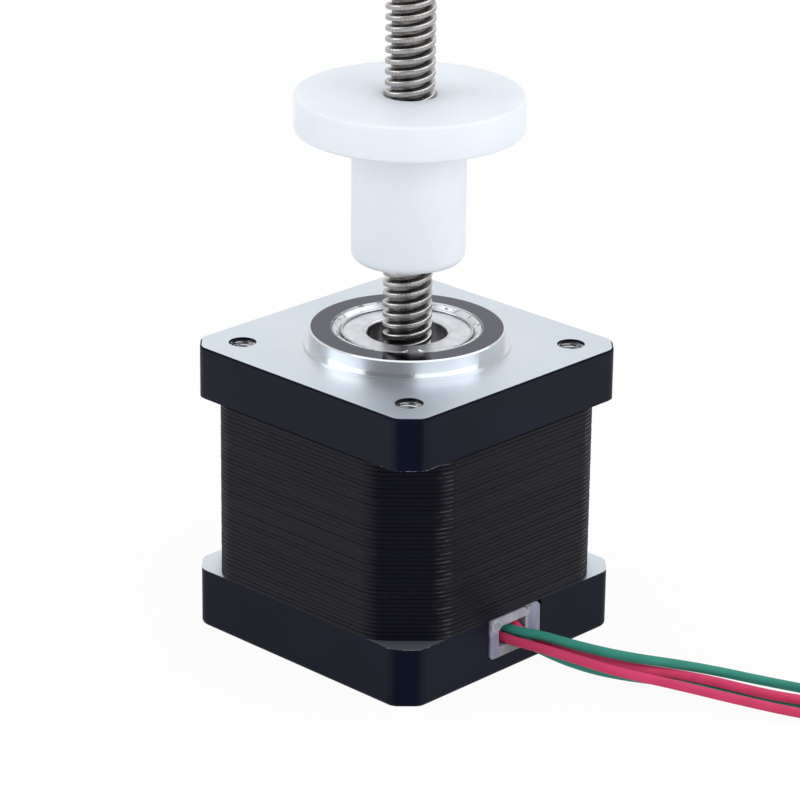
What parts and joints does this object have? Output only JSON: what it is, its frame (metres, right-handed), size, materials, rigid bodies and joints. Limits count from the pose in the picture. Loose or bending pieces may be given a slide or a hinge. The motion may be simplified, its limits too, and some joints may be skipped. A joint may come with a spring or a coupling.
{
  "type": "external linear stepper motor",
  "caption": "Square hybrid stepper motor with a round pilot boss, a long turning lead screw, a white flanged nut that travels along it, and flying leads from a side grommet.",
  "frame": {"origin": "middle of the motor's rear face", "axes": "+Z along the lead screw away from the motor, the leads leave through the +X side, +Y completes the frame"},
  "size_m": [0.0868, 0.0526, 0.134],
  "materials": {
    "housing_black": "satin black finish on aluminium, machined bare on the faces",
    "machined_aluminium": "fine machined and bead-blasted",
    "lamination_steel": "black-coated lamination edges",
    "zinc_steel": "zinc-plated socket-head screws",
    "insulator_nylon": "natural nylon",
    "enamelled_copper": "enamelled copper wire",
    "rotor_steel": "turned and ground steel",
    "magnet_dark": "sintered magnet",
    "stainless_screw": "rolled stainless thread",
    "nut_white": "turned white acetal",
    "bearing_steel": "ground bearing steel",
    "ball_chrome": "polished balls",
    "shield_steel": "pressed steel shield",
    "spring_steel": "spring steel",
    "grommet_nylon": "natural translucent nylon",
    "lead_green": "soft green lead insulation",
    "lead_red": "soft red lead insulation",
    "tie_black": "soft black band",
    "tinned_copper": "tinned copper strands"
  },
  "bodies": {
    "motor": {"front_end_cap": "housing_black", "rear_end_cap": "housing_black", "housing_screws": "zinc_steel", "stator_stack": "lamination_steel", "front_slot_insulator": "insulator_nylon", "rear_slot_insulator": "insulator_nylon", "winding_phase_a": "enamelled_copper", "winding_phase_b": "enamelled_copper", "front_bearing_outer_ring": "bearing_steel", "front_bearing_shields": "shield_steel", "front_bearing_snap_wires": "spring_steel", "rear_bearing_outer_ring": "bearing_steel", "rear_bearing_shields": "shield_steel", "rear_bearing_snap_wires": "spring_steel", "wave_washer": "spring_steel", "lead_grommet": "grommet_nylon", "lead_green_1": "lead_green", "lead_green_2": "lead_green", "lead_red_1": "lead_red", "lead_red_2": "lead_red", "lead_coil": "lead_green", "lead_tie": "tie_black", "lead_tips": "tinned_copper"},
    "rotor": {"rotor_shaft": "rotor_steel", "rotor_cup_front": "rotor_steel", "rotor_cup_rear": "rotor_steel", "rotor_magnet": "magnet_dark", "lead_screw": "stainless_screw", "front_bearing_inner_ring": "bearing_steel", "rear_bearing_inner_ring": "bearing_steel"},
    "front_ball_set": {"front_bearing_balls": "ball_chrome", "front_bearing_cage": "bearing_steel"},
    "rear_ball_set": {"rear_bearing_balls": "ball_chrome", "rear_bearing_cage": "bearing_steel"},
    "nut": {"lead_nut": "nut_white"}
  },
  "joints": [
    {"name": "rotor_spin", "type": "hinge", "parent": "motor", "child": "rotor", "pos_m": [0, 0, 0], "axis": [0, 0, 1], "range_deg": [-10185, 1033]},
    {"name": "nut_travel", "type": "slide", "parent": "motor", "child": "nut", "axis": [0, 0, 1], "range_m": [-0.007, 0.069]},
    {"name": "front_balls_roll", "type": "hinge", "parent": "motor", "child": "front_ball_set", "pos_m": [0, 0, 0.0334], "axis": [0, 0, 1], "range_deg": [-4310, 438]},
    {"name": "rear_balls_roll", "type": "hinge", "parent": "motor", "child": "rear_ball_set", "pos_m": [0, 0, 0.0044], "axis": [0, 0, 1], "range_deg": [-4310, 438]}
  ],
  "couplings": [
    {"joint": "nut_travel", "follows": "rotor_spin", "m_per_rad": -0.00038808},
    {"joint": "front_balls_roll", "follows": "rotor_spin", "ratio": 0.42308},
    {"joint": "rear_balls_roll", "follows": "rotor_spin", "ratio": 0.42308}
  ]
}
